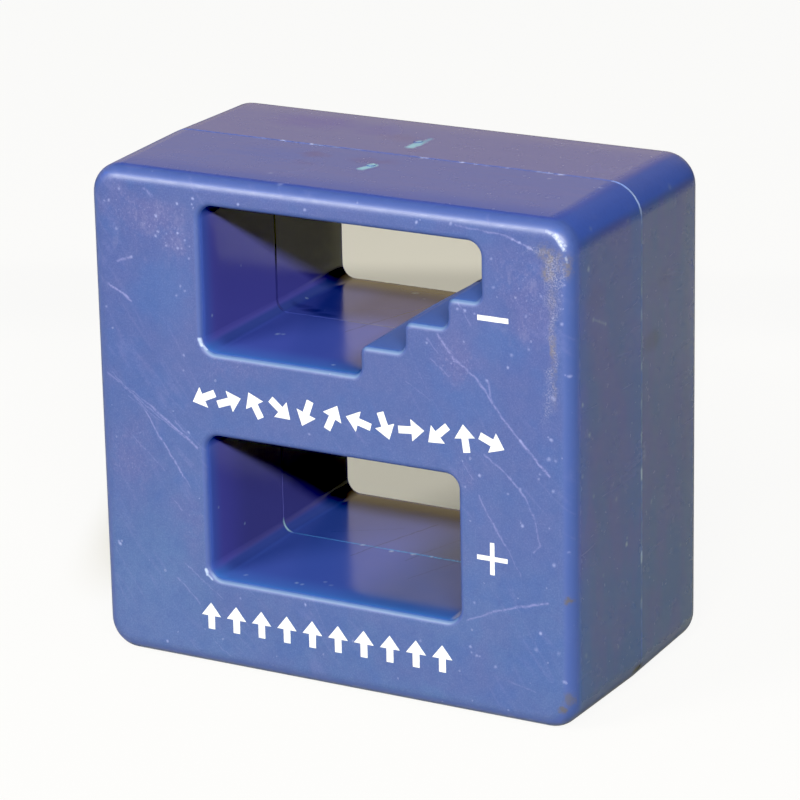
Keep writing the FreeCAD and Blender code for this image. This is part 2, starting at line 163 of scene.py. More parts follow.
def paint(base, *coats):
    """Lays coats of (mask, colour) over a base colour, first one lowest."""
    for mask, colour in coats:
        base = mask.mix(base, colour)
    return base


def new_material(name):
    material = bpy.data.materials.new(name)
    material.use_nodes = True
    material.node_tree.nodes.clear()
    return material, Tree(material.node_tree)


def finish(tree, shader):
    tree.nodes("OutputMaterial", [], {0: shader})


def millimetres(tree):
    """Object coordinates in mm: the CAD parts sit at the origin, so these are the block's own."""
    return tree.node("TexCoord", output="Object").vec("SCALE", scale=1000.0)


# ---------------------------------------------------------------- wear helpers, all in mm
# a plane turns the two numbers of a table row into a position
def ON_FRONT(x, z):
    return (x, 0.0, z)


def ON_SIDE(y, z):
    return (0.0, y, z)


def ON_TOP(x, y):
    return (x, y, 0.0)


def gather(point, mark, rows, chunk=16):
    """Largest value of the marks in rows, built as node groups of up to chunk rows each."""
    largest = 0.0
    for first in range(0, len(rows), chunk):
        group = bpy.data.node_groups.new("wear_rows", "ShaderNodeTree")
        sockets = group.interface
        sockets.new_socket(name="Position", in_out="INPUT", socket_type="NodeSocketVector")
        sockets.new_socket(name="Value", in_out="OUTPUT", socket_type="NodeSocketFloat")
        here = Value(Tree(group), group.nodes.new("NodeGroupInput").outputs[0])
        best = 0.0
        for row in rows[first:first + chunk]:
            best = mark(here, *row).max(best)
        group.links.new(best.socket, group.nodes.new("NodeGroupOutput").inputs[0])
        largest = point.tree.node("Group", {0: point}, node_tree=group).max(largest)
    return largest


def dots(point, rows, plane):
    """Round specks: rows of (place, place, radius, strength)."""
    def mark(here, across, along, radius, strength):
        gap = here.vec("DISTANCE", plane(across, along))
        return gap.math("MULTIPLY_ADD", -strength * 1.1 / radius, strength * 1.1)
    return gather(point, mark, rows, chunk=30)


def strokes(point, rows, plane):
    """Straight scratches: rows of (start, start, end, end, half width, strength)."""
    def mark(here, across, along, across_end, along_end, width, strength):
        start = Vector(plane(across, along))
        run = Vector(plane(across_end, along_end)) - start
        offset = here.vec("SUBTRACT", tuple(start))
        travel = offset.vec("DOT_PRODUCT", tuple(run / run.length_squared)).max(0.0).min(1.0)
        gap = offset.vec("DISTANCE", here.tree.vec("SCALE", tuple(run), scale=travel))
        return gap.math("MULTIPLY_ADD", -strength / width, strength)
    return gather(point, mark, rows)


def patches(point, rows, plane):
    """Soft ovals: rows of (place, place, reach, reach, strength)."""
    def mark(here, across, along, reach_across, reach_along, strength):
        inverse = tuple(1.0 / v if v else 0.0 for v in plane(reach_across, reach_along))
        offset = here.vec("SUBTRACT", plane(across, along)).stretch(*inverse)
        return offset.vec("LENGTH").fall(0.25, 1.15, strength)
    return gather(point, mark, rows)


def hairs(point, turn, along, across, width, seed):
    """Long fine scratches that run one way: turn in degrees, noise scale along and across."""
    turned = point.tree.node("Mapping", {
        "Vector": point, "Rotation": tuple(math.radians(angle) for angle in turn)})
    wave = turned.stretch(along, along, across).noise(1.0, detail=1.0, rough=0.4, seed=seed)
    line = abs(wave - 0.5).fall(0.0, width, smooth=False)
    return line * point.noise(0.16, seed=seed + 3.1).ramp(0.52, 0.66)


def flecks(point, scale, size, seed):
    """Sparse specks of mixed size: scale is cells per mm, size the largest radius in mm."""
    moved = point.vec("ADD", (seed * 7.3, seed * 3.9, seed * 5.7))
    gap, chance = point.tree.nodes("TexVoronoi", ("Distance", "Color"),
                                   {"Vector": moved, "Scale": scale})
    red, green, _ = chance.xyz()
    radius = red.ramp(0.2, 1.0, end=size * scale, smooth=False)
    return (gap < radius) * green.ramp(0.0, 1.0, start=0.35, smooth=False)


# ---------------------------------------------------------------- wear tables, in mm
# dust specks and small nicks on the front face: x, z, radius, strength
FRONT_SPOTS = [
    (-13.97, 47.56, 0.26, 1), (-14.11, 46.96, 0.2, 0.75), (-13.96, 46.63, 0.16, 0.6),
    (-15.76, 46.86, 0.22, 0.95), (-18.1, 45.31, 0.24, 1), (-15.72, 43.93, 0.24, 1),
    (-18.24, 43.37, 0.24, 0.75), (-17.0, 43.77, 0.2, 0.45), (-15.03, 43.32, 0.22, 0.6),
    (-17.11, 42.57, 0.22, 0.55), (-15.84, 42.48, 0.24, 0.7), (-15.4, 42.44, 0.2, 0.5),
    (-14.61, 41.5, 0.22, 0.55), (-14.5, 42.8, 0.2, 0.45), (-21.09, 40.99, 0.26, 0.5),
    (-22.18, 47.54, 0.22, 0.5), (-23.82, 46.26, 0.2, 0.55), (-23.31, 46.32, 0.22, 0.6),
    (-22.6, 43.59, 0.26, 0.45), (-15.67, 38.7, 0.22, 0.5), (-15.24, 38.31, 0.2, 0.5),
    (-16.15, 37.75, 0.2, 0.45), (-24.12, 35.61, 0.24, 0.5), (-17.89, 43.86, 0.22, 0.6),
    (-23.71, 11.37, 0.3, 0.9), (-23.81, 11.56, 0.22, 0.6), (-18.72, 2.02, 0.24, 0.9),
    (-2.93, 8.5, 0.22, 0.9), (-15.39, 24.09, 0.24, 0.6), (-1.97, 25.87, 0.24, 0.6),
    (-10.19, 7.88, 0.2, 0.5), (16.05, 24.52, 0.24, 0.9), (14.58, 23.22, 0.2, 0.5),
    (14.3, 25.73, 0.2, 0.5), (20.46, 20.3, 0.3, 0.9), (20.25, 20.57, 0.18, 0.5),
    (23.23, 20.35, 0.2, 0.6), (23.72, 16.95, 0.32, 0.8), (18.94, 23.2, 0.22, 0.5),
    (20.29, 23.8, 0.22, 0.5), (23.67, 24.13, 0.26, 0.7), (22.15, 25.07, 0.22, 0.5),
    (22.36, 25.58, 0.2, 0.45), (23.5, 29.05, 0.34, 0.9), (23.2, 29.29, 0.22, 0.6),
    (23.18, 27.17, 0.3, 0.7), (23.9, 27.08, 0.26, 0.5), (20.33, 28.48, 0.2, 0.5),
    (15.35, 11.82, 0.24, 0.45), (22.22, 9.9, 0.28, 1), (14.86, 7.3, 0.24, 0.7),
    (14.96, 6.71, 0.2, 0.5), (15.49, 6.5, 0.26, 0.6), (15.8, 6.46, 0.2, 0.5),
    (21.79, 8.22, 0.34, 0.4), (24.07, 8.23, 0.36, 0.4), (17.48, 5.64, 0.26, 0.6),
    (24.67, 5.43, 0.32, 0.8), (18.8, 1.52, 0.2, 0.6), (25.06, 18.3, 0.2, 0.5),
    (19.08, 35.44, 0.26, 0.8), (25.17, 35.33, 0.3, 0.8), (24.86, 35.48, 0.2, 0.6),
    (23.74, 33.12, 0.36, 0.8), (23.33, 33.16, 0.24, 0.5), (24.59, 40.28, 0.3, 0.8),
    (14.59, 37.32, 0.2, 0.5), (10.74, 36.7, 0.2, 0.6), (14.73, 40.31, 0.26, 0.7),
    (14.01, 40.31, 0.22, 0.6), (15.76, 40.15, 0.2, 0.5), (17.57, 45.61, 0.24, 0.5),
    (19.5, 36.64, 0.3, 0.45), (21.24, 37.45, 0.22, 0.45), (17.74, 42.88, 0.26, 0.45),
    (20.97, 40.55, 0.24, 0.45), (22.5, 42.65, 0.24, 0.5), (24.82, 43.89, 0.22, 0.6),
    (23.69, 40.73, 0.22, 0.6), (24.5, 41.68, 0.2, 0.5), (13.42, 48.31, 0.26, 0.6),
    (20.43, 47.46, 0.22, 0.7), (19.72, 47.66, 0.2, 0.5), (21.23, 47.09, 0.26, 0.6),
    (21.53, 47.04, 0.2, 0.5), (16.91, 33.88, 0.22, 0.5), (-15.62, 31.83, 0.22, 0.6),
    (9.53, 6.97, 0.24, 0.5), (-9.06, 47.55, 0.26, 0.95), (-1.85, 47.92, 0.24, 0.7),
    (9.92, 48.08, 0.26, 0.9),
]
# scratches on the front face: x, z, x2, z2, half width, strength
FRONT_LINES = [
    (-23.78, 37.96, -21.57, 36.85, 0.16, 0.75), (-22.01, 37.09, -21.25, 36.49, 0.12, 0.5),
    (-22.64, 40.4, -21.04, 41.0, 0.16, 0.45), (-24.34, 28.91, -19.58, 26.23, 0.1, 0.42),
    (-19.58, 26.23, -14.44, 22.71, 0.16, 0.7), (-22.68, 27.82, -14.44, 22.61, 0.09, 0.45),
    (-23.77, 28.99, -19.94, 25.67, 0.09, 0.4), (-20.28, 25.72, -18.59, 23.11, 0.12, 0.55),
    (-18.59, 23.11, -16.03, 19.41, 0.14, 0.65), (-16.03, 19.41, -15.4, 18.48, 0.1, 0.35),
    (11.9, 37.72, 13.42, 35.62, 0.16, 0.55), (13.42, 35.62, 15.88, 33.93, 0.16, 0.6),
    (15.88, 33.93, 17.09, 32.37, 0.16, 0.6), (17.09, 32.37, 18.51, 30.44, 0.16, 0.6),
    (18.51, 30.44, 20.33, 28.48, 0.13, 0.6), (20.33, 28.48, 23.27, 25.53, 0.17, 0.8),
    (17.01, 33.9, 17.49, 31.65, 0.14, 0.5), (11.13, 35.21, 12.97, 33.72, 0.12, 0.35),
    (10.74, 37.09, 11.87, 35.89, 0.1, 0.35), (16.6, 26.66, 18.76, 25.13, 0.13, 0.5),
    (18.76, 25.13, 20.79, 23.1, 0.14, 0.55), (20.79, 23.1, 21.7, 20.99, 0.11, 0.45),
    (21.7, 20.99, 22.3, 18.63, 0.1, 0.4), (22.3, 18.63, 21.57, 17.82, 0.12, 0.4),
    (15.92, 22.54, 17.14, 20.27, 0.12, 0.45), (17.14, 20.27, 18.67, 18.04, 0.13, 0.5),
    (18.67, 18.04, 20.2, 15.33, 0.09, 0.3), (14.3, 25.53, 15.32, 24.12, 0.1, 0.35),
    (13.94, 48.27, 16.99, 48.08, 0.12, 0.35), (16.99, 48.08, 19.02, 47.95, 0.13, 0.45),
    (19.02, 47.95, 20.53, 47.38, 0.15, 0.55), (20.53, 47.38, 21.73, 46.97, 0.15, 0.5),
    (14.58, 9.88, 17.23, 11.14, 0.14, 0.45), (17.23, 11.14, 19.65, 12.05, 0.14, 0.55),
    (19.65, 12.05, 22.97, 13.01, 0.16, 0.65), (-16.3, 10.5, -14.09, 8.89, 0.1, 0.4),
    (-17.16, 8.89, -14.75, 6.59, 0.12, 0.4), (-14.09, 8.89, -12.22, 7.54, 0.08, 0.3),
    (-23.32, 24.16, -21.67, 22.76, 0.08, 0.25), (-21.67, 22.76, -18.17, 19.8, 0.09, 0.3),
    (-17.49, 17.13, -16.41, 15.96, 0.1, 0.35), (-22.04, 26.89, -18.51, 24.86, 0.07, 0.3),
    (-16.81, 25.1, -15.41, 23.69, 0.12, 0.4), (-13.31, 2.86, -11.54, 1.7, 0.08, 0.3),
    (-20.73, 0.81, -17.85, 0.9, 0.12, 0.25), (8.46, 32.7, 11.05, 31.12, 0.07, 0.25),
    (13.92, 41.16, 15.33, 38.95, 0.1, 0.3), (-19.26, 47.92, -18.51, 47.32, 0.22, 0.5),
    (18.83, 4.57, 21.65, 3.87, 0.1, 0.25),
]
# tone patches on the front face: x, z, reach x, reach z, strength
FRONT_DUST = [
    (-18.7, 45.3, 4.6, 3.0, 0.8), (-22.0, 45.9, 3.2, 2.6, 0.5), (-15.7, 43.4, 2.1, 2.4, 0.7),
    (19.0, 45.4, 3.6, 2.8, 0.4), (13.7, 35.4, 2.9, 2.9, 0.6), (21.5, 42.1, 3.0, 5.5, 0.6),
    (-22.1, 20.7, 3.2, 5.0, 0.45), (-15.5, 15.1, 2.2, 3.8, 0.35), (-10.4, 31.0, 5.2, 1.1, 0.4),
    (14.6, 24.8, 1.5, 2.4, 0.35),
]
FRONT_CLEAN = [
    (-17.9, 37.8, 4.0, 4.2, 0.8), (18.4, 37.5, 3.6, 3.0, 0.7), (15.2, 31.7, 3.7, 2.6, 0.5),
    (24.5, 38.3, 1.0, 6.0, 0.5), (22.2, 7.2, 4.2, 3.0, 0.4),
]
FRONT_COOL = [
    (-20.3, 10.2, 5.6, 6.6, 0.6), (-23.8, 9.6, 3.2, 7.4, 0.5), (9.4, 1.0, 7.5, 1.8, 0.4),
    (-14.7, 6.9, 2.8, 3.6, 0.4),
]
FRONT_PALE = [(-20.0, 5.0, 7.0, 8.0, 0.6), (-14.0, 2.5, 9.0, 4.0, 0.5)]
FRONT_DRY = [
    (21.3, 42.0, 4.6, 7.4, 0.85), (-19.0, 44.0, 6.5, 4.5, 0.8), (22.0, 28.0, 4.0, 8.0, 0.3),
    (-20.0, 20.0, 5.0, 12.0, 0.25),
]
FRONT_GRIME = [
    (22.84, 46.82, 1.0, 1.0, 0.6), (23.43, 46.33, 0.85, 1.35, 0.85),
    (23.22, 44.9, 0.95, 1.05, 0.85), (24.33, 46.0, 0.75, 1.6, 0.5), (25.05, 45.6, 0.5, 1.6, 0.75),
    (23.68, 38.64, 0.45, 2.2, 0.5), (23.67, 37.69, 0.4, 1.0, 0.8), (23.8, 35.0, 0.4, 3.2, 0.35),
    (23.61, 42.6, 0.55, 2.6, 0.35),
]
FRONT_CHALK = [
    (24.1, 44.6, 1.0, 2.6, 1.0), (23.7, 41.0, 0.7, 3.4, 0.8), (23.6, 36.5, 0.6, 4.5, 0.75),
    (23.2, 32.5, 0.6, 2.6, 0.5), (22.3, 47.2, 1.6, 0.7, 0.7),
]
FRONT_BROWN = [(25.0, 13.45, 0.45, 0.5, 1.0), (24.5, 2.49, 0.55, 0.55, 1.0),
               (25.05, 3.7, 0.6, 0.95, 0.75)]
# bright marks by the windows' left edges, painted highlights on the rims, and at the top right
# corner, a scuff with a painted highlight; columns as FRONT_LINES
FRONT_LIP_HIGHLIGHTS = [
    (-13.85, 33.7, -13.62, 33.05, 0.20, 1.3), (-13.62, 33.05, -13.1, 32.75, 0.14, 0.8),
    (-14.0, 10.25, -13.85, 9.75, 0.20, 1.3), (-13.85, 9.75, -13.3, 9.35, 0.15, 0.9),
]
FRONT_SCUFF_AND_HIGHLIGHT = [
    (23.85, 48.5, 24.75, 47.6, 0.27, 1.25), (24.9, 46.6, 25.0, 46.1, 0.14, 0.6),
    (24.6, 47.8, 24.9, 47.2, 0.20, 1.0), (23.1, 48.8, 23.7, 48.65, 0.20, 0.5),
]
# specks on the right side: y, z, radius, strength
SIDE_SPOTS = [
    (-10.79, 44.72, 0.3, 0.75), (-12.09, 32.15, 0.3, 0.85), (-10.72, 28.94, 0.3, 0.7),
    (-7.49, 28.23, 0.24, 0.25), (-12.15, 25.31, 0.26, 0.4), (-9.96, 22.65, 0.26, 0.3),
    (-5.26, 20.83, 0.3, 0.5), (2.29, 18.16, 0.32, 0.7), (-3.19, 15.65, 0.3, 0.9),
    (-3.08, 16.22, 0.26, 0.45), (9.21, 11.43, 0.3, 0.3), (-4.89, 5.92, 0.3, 0.45),
    (-9.83, 39.72, 0.28, 0.6), (-8.64, 39.2, 0.24, 0.5), (-7.43, 38.62, 0.28, 0.7),
    (-9.57, 48.16, 0.3, 0.3), (-2.73, 47.24, 0.3, 0.3), (-8.37, 49.92, 0.4, 0.35),
    (7.02, 48.01, 0.4, 0.3), (-11.5, 7.4, 0.3, 0.3), (-7.97, 14.17, 0.3, 0.25),
]
# pale wear, mostly along the joint of the right side: y, z, y2, z2, half width, strength
SIDE_LINES = [
    (-9.83, 39.72, -7.43, 38.62, 0.17, 0.35), (-0.05, 37.75, -0.05, 36.95, 0.24, 0.55),
    (-0.03, 32.55, -0.03, 32.1, 0.25, 0.45), (-0.05, 28.85, -0.05, 28.3, 0.24, 0.35),
    (-0.05, 25.7, -0.05, 24.9, 0.22, 0.5), (0.0, 22.05, 0.0, 21.2, 0.3, 1.0),
    (0.0, 13.7, 0.0, 12.85, 0.32, 0.85), (-0.05, 8.9, -0.05, 8.2, 0.28, 0.45),
    (-0.05, 39.9, -0.05, 39.0, 0.2, 0.25), (0.66, 24.2, 0.66, 22.9, 0.25, 0.25),
    (0.15, 20.5, 0.15, 20.1, 0.22, 0.25), (-0.02, 47.6, -0.02, 47.2, 0.28, 0.6),
    (-0.02, 46.6, -0.02, 46.3, 0.2, 0.3),
]
# specks on the top: x, y, radius, strength
TOP_SPOTS = [
    (-12.22, 0.1, 0.4, 0.5), (-9.0, 0.02, 0.36, 0.75), (3.08, -0.02, 0.35, 0.75),
    (3.52, 0.02, 0.3, 0.55), (7.29, 0.03, 0.38, 0.85), (8.74, -0.03, 0.3, 0.4),
    (9.93, -0.03, 0.3, 0.35), (12.05, 0.03, 0.26, 0.35), (15.41, -0.02, 0.3, 0.5),
    (16.0, -0.01, 0.3, 0.55), (16.5, 0.03, 0.3, 0.5), (17.67, 0.03, 0.42, 0.95),
    (17.3, -1.58, 0.35, 0.35), (-7.7, -10.08, 0.3, 0.35), (-5.12, -12.8, 0.4, 0.35),
    (22.93, -2.37, 0.3, 0.3),
]
# wear along the joint on the top: x, x2, half width, strength
TOP_JOINT = [
    (-15.17, -13.93, 0.16, 0.35), (-12.5, -11.9, 0.18, 0.4), (-11.5, -9.6, 0.12, 0.22),
    (-9.1, -7.67, 0.2, 0.8), (-7.67, -5.91, 0.16, 0.5), (-4.76, -3.53, 0.14, 0.22),
    (6.9, 10.2, 0.12, 0.3), (14.8, 16.9, 0.15, 0.45), (11.5, 12.6, 0.12, 0.25),
    (18.2, 21.5, 0.1, 0.15),
]
# tone patches on the top: x, y, reach x, reach y, strength
TOP_DEEP = [(-13.0, 8.0, 6.0, 3.4, 0.75), (-6.0, 7.5, 3.4, 3.2, 0.45)]
TOP_BRIGHT = [(-11.0, -4.4, 6.0, 3.2, 0.7), (-17.0, -8.0, 4.5, 2.8, 0.4)]
TOP_DULL = [
    (-6.9, -3.2, 2.1, 1.0, 0.7), (-6.3, -5.6, 1.7, 0.9, 0.35), (-0.6, -2.7, 3.0, 1.3, 0.6),
    (-2.6, 5.6, 2.8, 1.8, 0.55), (1.4, 2.2, 1.8, 1.1, 0.35),
]
# torn flakes at the gate marks on the top: x, y, x2, y2, half width, strength
TOP_FLAKES = [(0.12, 3.1, 0.25, 5.2, 0.62, 1.9), (0.25, 5.2, 0.35, 6.8, 0.40, 1.0),
              (-0.42, -5.5, 0.05, -4.1, 0.55, 1.8)]
# specks on the floors of the low and high windows: x, y, radius, strength
LOW_SPOTS = [
    (-4.36, 0.0, 0.36, 0.8), (-0.98, -0.3, 0.36, 1.0), (1.37, -0.2, 0.36, 0.9),
    (3.36, 0.0, 0.30, 0.7), (-2.93, -10.14, 0.26, 0.5), (-5.3, -11.5, 0.26, 0.7),
    (-4.6, -11.6, 0.26, 0.6), (-10.83, -11.77, 0.3, 0.5), (-2.0, -10.6, 0.26, 0.4),
]
HIGH_SPOTS = [
    (-4.19, 11.44, 0.5, 1.2), (-9.67, -6.25, 0.36, 0.8), (-9.2, -6.1, 0.28, 0.6),
    (-12.7, 4.65, 0.26, 0.6), (-0.27, -12.1, 0.26, 0.9), (-2.4, 10.0, 0.26, 0.35),
]
# specks on the windows' left walls: y, z, radius, strength
WALL_SPOTS = [(-7.27, 12.89, 0.22, 0.8), (-11.96, 35.47, 0.22, 0.8),
              (-6.45, 39.06, 0.2, 0.4), (-12.0, 16.1, 0.2, 0.5)]
# smudges on the high window's floor: x, y, reach x, reach y, strength
DECK_SMUDGES = [(-10.4, 1.6, 1.4, 0.9, 0.50), (-11.9, 2.4, 1.5, 0.8, 0.35),
                (-8.4, 0.8, 1.8, 0.7, 0.35)]
# dark rubs on the windows' floors: x, y, x2, y2, half width, strength
DECK_RUBS = [(-0.5, 8.5, -4.0, -3.0, 0.16, 0.8), (4.5, 9.0, 1.5, -2.0, 0.14, 0.6),
             (8.0, 4.0, 4.0, -6.0, 0.14, 0.5), (-3.0, 6.0, -9.0, 2.0, 0.12, 0.4)]

# ---------------------------------------------------------------- blue shell plastic
PLASTIC_IOR = 1.54
FACE_ON = (0.90, 0.9985)  # part of the normal along an axis, from turned away to square on
BLACK = (0.0, 0.0, 0.0)
CORNER = (0.050, 0.096, 0.385)
EDGE = (0.060, 0.102, 0.325)
WALL = (0.106, 0.108, 0.455)
HAZE_FRONT_HIGH = (0.059, 0.093, 0.287)
HAZE_FRONT_LOW = (0.068, 0.121, 0.312)
HAZE_TOP = (0.054, 0.086, 0.370)
HAZE_SIDE = (0.060, 0.091, 0.262)
HAIR = (0.20, 0.21, 0.48)


def shell_zones(tree):
    """Position, normal and masks that the shell's shading uses."""
    shell = SimpleNamespace(tree=tree, point=millimetres(tree))
    shell.normal = tree.node("NewGeometry", output="Normal").xyz()
    shell.place = shell.point.xyz()
    face_x, face_y, face_z = shell.normal
    x, y, z = shell.place
    shell.far_x, shell.far_y = abs(x), abs(y)
    far_z = abs(z - MID_HEIGHT)
    # flat faces
    shell.front = (face_y * -1.0).ramp(*FACE_ON) * (y < -13.2)
    shell.back = face_y.ramp(*FACE_ON) * (y > 13.2)
    shell.top = face_z.ramp(*FACE_ON) * (z > 49.0)
    shell.side = abs(face_x).ramp(*FACE_ON) * (shell.far_x > 25.0)
    # the outside, and the windows' walls
    ends = far_z.ramp(23.4, 24.2).max(shell.far_y.ramp(13.3, 13.9))
    shell.outer = shell.far_x.ramp(23.0, 24.6).max(ends)
    shell.tunnel = 1.0 - shell.outer
    # the upper and lower halves, and the steps in the high window
    shell.high = z > 28.0
    shell.low = 1.0 - shell.high
    shell.steps = (z > 33.9) * (x > 2.0) * (z < 46.0) * shell.tunnel
    shell.on_side = face_x.ramp(0.35, 0.60) * (x > 24.0)
    return shell


def soft_normal(shell):
    """Eases the walls into the rounded front and back edges over a few millimetres."""
    far_y = shell.far_y
    reach = shell.tunnel.lerp(far_y.ramp(8.5, 12.6), far_y.ramp(9.6, 13.4))
    wall = abs(shell.normal[1]).fall(0.15, 0.45)
    lean = reach * wall * shell.place[1].math("SIGN") * shell.top.lerp(0.085, 0.055)
    true_normal = shell.tree.node("NewGeometry", output="Normal")
    return true_normal.vec("ADD", shell.tree.node("CombineXYZ", {1: lean})).vec("NORMALIZE")


def add_gloss(shell):
    """Roughness and specular level of the zones."""
    x, y, z = shell.place
    face_x, _, face_z = shell.normal
    mouth = shell.far_x.ramp(18.5, 18.0) * (shell.far_y > 13.35) * (z > 8.0) * (z < 48.2)
    rough = mouth.lerp(0.43, 0.52)
    rough = shell.top.max(shell.side).lerp(rough, 0.27)
    rough = shell.tunnel.lerp(rough, 0.17)
    shell.rough = shell.steps.lerp(rough, 0.45)

    window = shell.high.lerp(face_x.ramp(0.4, 0.8).lerp(0.31, 0.20), 0.28)
    level = shell.tunnel.lerp(0.5, window)
    rear_floor = shell.tunnel * y.ramp(7.0, 11.0) * face_z.ramp(0.3, 0.6)
    level = rear_floor.lerp(level, level * 0.50)
    level = shell.steps.lerp(level, 0.10)
    # seen from behind, the top would mirror the front lamps: hold that glare down
    to_eye = shell.tree.node("NewGeometry", output="Incoming")
    shell.from_behind = to_eye.xyz()[1].ramp(-0.05, 0.25)
    shell.level = (shell.from_behind * face_z.ramp(0.4, 0.7)).lerp(level, level * 0.22)


def add_tones(shell):
    """Plain colours: tone for edges and windows, with painted shade and light inside the windows,
    haze for the front and back faces.
    """
    x, y, z = shell.place
    face_x, _, face_z = shell.normal
    high = shell.high
    # window floors, darker to the right, and in the low window the right part darker to the rear:
    # painted shade
    shaded_low_right = y.ramp(-1.0, 1.0).mix((0.034, 0.076, 0.300), (0.016, 0.056, 0.200))
    shaded_deck_right = high.mix(shaded_low_right, (0.006, 0.014, 0.085))
    deck_left = high.mix((0.068, 0.112, 0.455), (0.075, 0.108, 0.465))
    deck = paint(
        x.ramp(-2.0, 6.0).mix(deck_left, shaded_deck_right),
        # painted light: brighter and bluer at the front mouth
        (y.fall(-13.6, -9.6, 0.50), (0.068, 0.180, 0.560)),
        (y.fall(-13.5, -12.4, 0.40), (0.060, 0.200, 0.600)),
        # painted shade over the rear of the high window's floor, then the colour of its steps
        (high * y.ramp(-2.0, 4.0) * x.ramp(-9.5, -5.5, 0.45, 0.9), (0.022, 0.030, 0.180)),
        (shell.steps, (0.085, 0.150, 0.450)))
    # painted shade: the low window's left wall darker deeper in
    wall = shell.low.mix(WALL, y.ramp(-11.0, -6.0).mix(WALL, (0.094, 0.096, 0.345)))
    # painted light: the walls brighter and bluer at the front mouth
    wall = y.fall(-13.9, -11.0, 0.75).mix(wall, (0.080, 0.165, 0.620))
    inside = face_z.ramp(0.3, 0.8).mix(wall, deck)
    # painted shade in the rounded corner between the left wall and the floor
    shaded_crease = (face_x.ramp(0.15, 0.45) * face_x.fall(0.75, 0.95) * face_z.ramp(0.25, 0.5)
              * y.ramp(-12.5, -10.0))
    inside = (shaded_crease * 0.8).mix(inside, (0.056, 0.084, 0.330))
    edge = shell.far_y.ramp(11.6, 12.8).mix(CORNER, EDGE)
    edge = (shell.on_side * z.ramp(48.4, 46.0) * 0.75).mix(edge, (0.044, 0.088, 0.310))
    shell.tone = shell.tunnel.mix(edge, inside)
    shell.haze = z.ramp(4.0, 42.0).mix(HAZE_FRONT_LOW, HAZE_FRONT_HIGH)


def add_textures(shell):
    """Irregularity that several surfaces share."""
    point = shell.point
    shell.near = point.wobble(1.1, rough=0.6, reach=0.42)
    shell.mottle = point.noise(0.55, detail=3.0, rough=0.62, seed=5.0)
    shell.grain = point.noise(2.6, rough=0.7, seed=9.0)
    shell.streak = point.stretch(1.4, 1.4, 0.45).noise(1.0, detail=3.0, rough=0.65, seed=4.0)
    shell.fleck = flecks(shell.near, scale=0.62, size=0.15, seed=1.0)
    shell.broken = shell.grain.ramp(0.34, 0.56, 0.35, 1.1)


def plastic(shell, colour, rough, normal=None, glow={}):
    return shell.tree.node("BsdfPrincipled", {
        "Base Color": colour, "IOR": PLASTIC_IOR, "Roughness": rough,
        "Specular IOR Level": shell.level, "Normal": normal, **glow})


def plain_plastic(shell, diffuse_ray):
    """What mirror and scatter rays see; scattered light is held down."""
    colour = paint(
        shell.front.max(shell.back).mix(shell.tone, shell.haze),
        (shell.top, HAZE_TOP), (shell.side, HAZE_SIDE), (diffuse_ray * 0.85, BLACK))
    return plastic(shell, colour, shell.rough)


